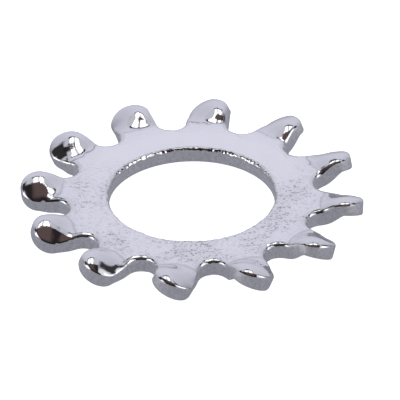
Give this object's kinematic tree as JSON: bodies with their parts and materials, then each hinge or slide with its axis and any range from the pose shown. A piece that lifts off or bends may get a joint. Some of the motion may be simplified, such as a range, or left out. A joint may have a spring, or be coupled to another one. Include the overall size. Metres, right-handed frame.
{
  "type": "toothed lock washer",
  "caption": "Flat steel ring with twisted radial teeth round its outer edge that bite under a screw head or nut and keep it from working loose.",
  "frame": {"origin": "on the axis of the bore, at the plane that the lowered tooth corners rest on", "axes": "+Z along the bore axis, up out of the face whose outer edge is rolled; +X along the middle of one tooth"},
  "size_m": [0.0104, 0.0104, 0.001],
  "materials": {
    "plated_steel": "bright plated spring steel: satin faces, duller sheared walls, teeth polished mirror-bright by the forming die"
  },
  "bodies": {
    "root": {"toothed_lock_washer": "plated_steel"}
  },
  "joints": []
}
